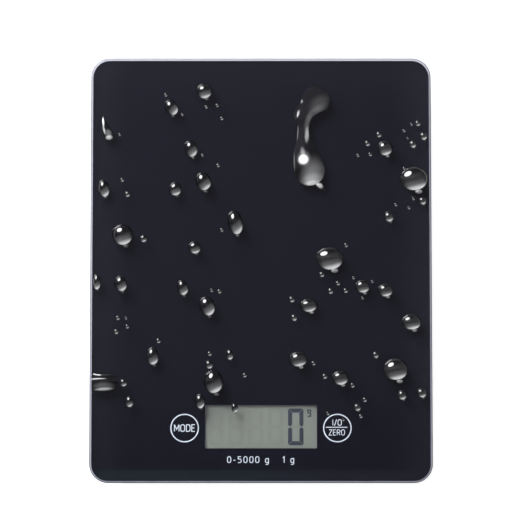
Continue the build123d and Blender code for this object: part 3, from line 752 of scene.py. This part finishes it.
# Each droplet: x, y, radius
DROPLETS = (
    (-50.5, 92.8, 0.9), (-41.7, 82.4, 0.8), (-74.8, 71.6, 0.8), (-31.0, 60.6, 0.8),
    (-29.0, 86.4, 0.9), (-23.2, 87.2, 0.9), (-20.8, 80.3, 1.0), (-22.7, 55.2, 1.0),
    (-73.4, 47.5, 1.1), (-70.5, 39.8, 1.5), (-20.7, 20.8, 1.0), (-26.0, -11.2, 0.9),
    (-21.9, -11.7, 1.2), (-75.3, -25.7, 1.2), (-71.0, -25.8, 0.8), (-70.3, -30.3, 1.1),
    (-76.1, -33.0, 1.3), (-53.9, -37.8, 1.3), (-27.0, -44.6, 1.2), (-8.6, -55.9, 1.2),
    (62.4, 71.6, 1.5), (56.3, 66.9, 1.5), (51.2, 60.5, 0.9), (57.7, 61.1, 1.1),
    (79.6, 77.1, 0.8), (83.0, 77.6, 1.5), (75.7, 73.7, 0.9), (77.5, 69.7, 0.6),
    (75.6, 53.6, 0.9), (80.4, 37.4, 0.8), (71.1, 34.2, 0.9), (78.0, 32.6, 0.9),
    (44.8, 12.7, 1.1), (32.0, -2.8, 1.4), (40.5, -7.4, 1.2), (36.6, -11.6, 1.5),
    (44.5, -11.3, 1.3), (48.6, -4.5, 0.8), (58.5, -6.5, 0.8), (53.4, -15.2, 0.8),
    (16.2, -16.0, 1.6), (17.4, -25.6, 1.7), (27.6, -49.7, 1.1), (33.4, -56.5, 1.4),
    (48.0, -61.2, 1.3), (54.4, -68.8, 1.2), (52.2, -77.4, 1.1), (35.0, -76.0, 0.9),
    (43.1, -79.3, 0.8),
)

# Each row: y, left x, right x, height. Each patch: x, y, half width, half depth, turn, brightness
TRAIL = (
    (44.3, 25.2, 25.6, 0.0), (44.6, 23.4, 27.6, 0.7), (45.4, 21.4, 29.5, 1.2), (47.0, 19.4, 31.6, 1.9),
    (49.5, 17.9, 33.1, 2.4), (53.0, 17.1, 33.6, 2.6), (57.0, 17.0, 32.4, 2.4), (61.0, 17.3, 30.6, 1.9),
    (65.0, 18.0, 28.5, 1.2), (70.0, 19.0, 25.8, 0.7), (75.0, 19.3, 25.2, 0.5), (80.0, 18.2, 26.6, 0.45),
    (83.0, 17.5, 30.0, 0.4), (85.0, 18.6, 34.6, 0.3), (89.0, 21.0, 36.2, 0.2), (92.0, 21.8, 36.2, 0.15),
    (95.0, 23.5, 33.5, 0.1), (97.2, 27.0, 29.5, 0.0),
)
TRAIL_LIGHT = (
    (22.4, 58.0, 3.2, 3.2, 0, 1.3), (22.6, 58.6, 4.4, 5.2, 0, 0.10), (22.1, 61.5, 1.6, 4.2, 8, 0.18),
    (28.0, 44.0, 9.2, 18.0, 0, 0.15), (28.0, 44.4, 8.0, 8.0, 0, 0.22), (27.5, 45.2, 5.6, 2.4, 4, 0.40),
    (24.3, 71.5, 1.5, 5.5, -4, 0.30), (24.8, 78.0, 2.2, 7.0, -16, 0.06), (28.6, 83.5, 3.2, 8.0, -50, 0.05),
    (31.0, 87.5, 6.0, 8.0, -50, 0.03), (19.6, 82.6, 0.7, 2.6, -12, 0.55), (21.6, 89.3, 0.7, 1.3, 0, 0.3),
    (18.0, 79.6, 0.5, 4.0, 10, 0.15), (19.4, 72.5, 0.5, 5.0, -4, 0.15), (17.6, 57.0, 0.5, 7.0, 2, 0.08),
)
TAIL = (
    (40.8, 33.3, 33.6, 0.0), (41.6, 32.5, 33.7, 0.2), (43.0, 30.7, 33.3, 0.3), (44.4, 29.0, 32.8, 0.4),
    (45.8, 30.0, 32.0, 0.0),
)
TAIL_LIGHT = ((30.9, 44.4, 2.6, 1.8, -40, 0.40),)
TEAR = (
    (68.6, -80.9, -80.3, 0.0), (69.1, -82.3, -78.9, 0.7), (70.4, -83.2, -78.0, 1.2),
    (72.0, -83.6, -77.8, 1.3), (74.0, -83.9, -78.8, 1.1), (76.0, -84.1, -80.4, 0.7),
    (78.5, -84.1, -82.0, 0.5), (81.2, -83.7, -83.3, 0.0),
)
TEAR_LIGHT = (
    (-80.2, 69.8, 2.4, 1.7, 5, 0.55), (-80.6, 72.0, 2.2, 3.0, 15, 0.10), (-83.5, 78.5, 0.7, 3.4, 6, 0.9),
    (-83.0, 74.0, 0.7, 3.5, 14, 0.35),
)
EDGE_POOL = (
    (-64.3, -88.4, -80.0, 0.0), (-63.6, -88.8, -77.6, 0.7), (-62.0, -88.9, -75.8, 1.2),
    (-59.5, -88.9, -75.0, 1.5), (-57.2, -88.9, -75.8, 1.2), (-55.8, -88.8, -77.8, 0.7),
    (-55.1, -88.4, -80.5, 0.0),
)
EDGE_POOL_LIGHT = (
    (-86.5, -58.0, 6.5, 0.35, 2, 0.7), (-83.5, -55.9, 6.5, 0.30, 0, 0.05), (-82.4, -63.4, 6.0, 1.1, 4, 0.4),
    (-82.4, -61.8, 7.2, 2.8, 0, 0.07),
)

drops = Puddle()
drops.stream(TRAIL, TRAIL_LIGHT)
drops.stream(TAIL, TAIL_LIGHT)
drops.stream(TEAR, TEAR_LIGHT)
drops.stream(EDGE_POOL, EDGE_POOL_LIGHT)
for x, y, half_width, half_depth, turn in LEFT_DROPS:
    drops.drop(x, y, half_width, half_depth, turn, clarity=0.05)
for x, y, half_width, half_depth, turn in RIGHT_DROPS:
    drops.drop(x, y, half_width, half_depth, turn, clarity=0.45)
for x, y, radius in DROPLETS:
    drops.drop(x, y, radius, clarity=0.3)
drops.finish("water_drops")


# ---- Studio ---------------------------------------------------------------------------
def studio_world():
    """A dim surround with a soft brighter field behind the zenith, which the glass mirrors."""
    world = bpy.data.worlds.new("studio")
    bpy.context.scene.world = world
    world.use_nodes = True
    tree = world.node_tree
    background = tree.nodes["Background"]
    split = tree.nodes.new("ShaderNodeSeparateXYZ")
    tree.links.new(tree.nodes.new("ShaderNodeTexCoord").outputs["Generated"], split.inputs[0])
    sky = tree.nodes.new("ShaderNodeValToRGB")
    # Each stop: how far back the sky lies, and its brightness
    stops = (
        (-1.0, 0.20), (-0.3, 0.14), (0.03, 0.10), (0.045, 0.11), (0.054, 0.13), (0.064, 0.17),
        (0.080, 0.205), (0.155, 0.21), (0.165, 0.238), (0.175, 0.315), (0.3, 0.35), (0.6, 0.18),
        (1.0, 0.18),
    )
    while len(sky.color_ramp.elements) < len(stops):
        sky.color_ramp.elements.new(0.5)
    for element, (y, level) in zip(sky.color_ramp.elements, stops):
        element.position = (y + 1) / 2
        element.color = (level, level, level * 1.14, 1.0)
    centred = tree.nodes.new("ShaderNodeMapRange")
    centred.inputs["From Min"].default_value = -1.0
    tree.links.new(split.outputs["Y"], centred.inputs["Value"])
    tree.links.new(centred.outputs["Result"], sky.inputs["Fac"])
    side = tree.nodes.new("ShaderNodeMapRange")
    for socket, value in zip(side.inputs[1:5], (-0.15, 0.15, 1.22, 0.78)):
        socket.default_value = value
    tree.links.new(split.outputs["X"], side.inputs["Value"])
    tree.links.new(sky.outputs["Color"], background.inputs["Color"])
    tree.links.new(side.outputs["Result"], background.inputs["Strength"])
    backdrop = tree.nodes.new("ShaderNodeBackground")
    backdrop.inputs["Color"].default_value = (0.93, 0.93, 0.94, 1.0)
    mix = tree.nodes.new("ShaderNodeMixShader")
    tree.links.new(tree.nodes.new("ShaderNodeLightPath").outputs["Is Camera Ray"], mix.inputs[0])
    tree.links.new(background.outputs[0], mix.inputs[1])
    tree.links.new(backdrop.outputs[0], mix.inputs[2])
    tree.links.new(mix.outputs[0], tree.nodes["World Output"].inputs["Surface"])


def softbox(name, direction, distance, radius, radiance, mirrored=True):
    """A round lamp that faces the platform from that direction.

    It leaves no highlights unless it is mirrored.
    """
    light = bpy.data.lights.new(name, "AREA")
    light.shape = "DISK"
    light.size = 2 * radius
    light.energy = radiance * math.pi * math.pi * radius ** 2
    lamp = bpy.data.objects.new(name, light)
    towards = Vector(direction).normalized()
    lamp.location = towards * distance
    lamp.rotation_euler = towards.to_track_quat("Z", "Y").to_euler()
    lamp.visible_camera = False
    lamp.visible_glossy = mirrored
    bpy.context.scene.collection.objects.link(lamp)


def pale_floor():
    """A white table top that can be seen through from below, where it would hide the feet."""
    reach = 12.0
    mesh = bpy.data.meshes.new("floor")
    corners = [(-reach, -reach, 0), (reach, -reach, 0), (reach, reach, 0), (-reach, reach, 0)]
    mesh.from_pydata(corners, [], [(0, 1, 2, 3)])
    finish = Finish("floor", roughness=0.6, specular=0.2)
    finish.feed("Base Color", finish.blend(finish.noise(0.5), (0.48, 0.48, 0.48), (0.52, 0.52, 0.52)))
    finish.set("Emission Color", (1.0, 1.0, 1.0, 1.0))
    finish.set("Emission Strength", 0.88)
    output = finish.tree.nodes["Material Output"]
    mix = finish.node("ShaderNodeMixShader")
    open_side = finish.maths(
        "MAXIMUM",
        finish.node("ShaderNodeNewGeometry").outputs["Backfacing"],
        finish.node("ShaderNodeLightPath").outputs["Is Shadow Ray"],
    )
    finish.link(open_side, mix.inputs[0])
    finish.link(finish.shader.outputs[0], mix.inputs[1])
    finish.link(finish.node("ShaderNodeBsdfTransparent").outputs[0], mix.inputs[2])
    finish.link(mix.outputs[0], output.inputs["Surface"])
    mesh.materials.append(finish.material)
    floor = bpy.data.objects.new("floor", mesh)
    bpy.context.scene.collection.objects.link(floor)


def camera():
    """Nearly straight above, leaning a little to the front, with a long lens."""
    data = bpy.data.cameras.new("camera")
    data.lens = 211.6
    data.sensor_width = 36.0
    data.shift_x = 4 / 530
    data.shift_y = 4 / 530
    made = bpy.data.objects.new("camera", data)
    lean = math.radians(6.15)
    distance = 1.64
    made.location = (0.0, -distance * math.sin(lean), glass_high.z + distance * math.cos(lean))
    made.rotation_euler = (lean, 0.0, 0.0)
    bpy.context.scene.collection.objects.link(made)
    bpy.context.scene.camera = made


studio_world()
softbox("key", (-0.49, 0.71, 0.50), 1.15, 0.42, 16.0)
softbox("front_fill", (0.55, -0.65, 0.52), 1.4, 0.45, 2.0, mirrored=False)
softbox("under_fill", (0.1, -0.3, -0.95), 1.2, 0.5, 3.0)
pale_floor()
camera()
bpy.context.scene.view_settings.view_transform = "Standard"
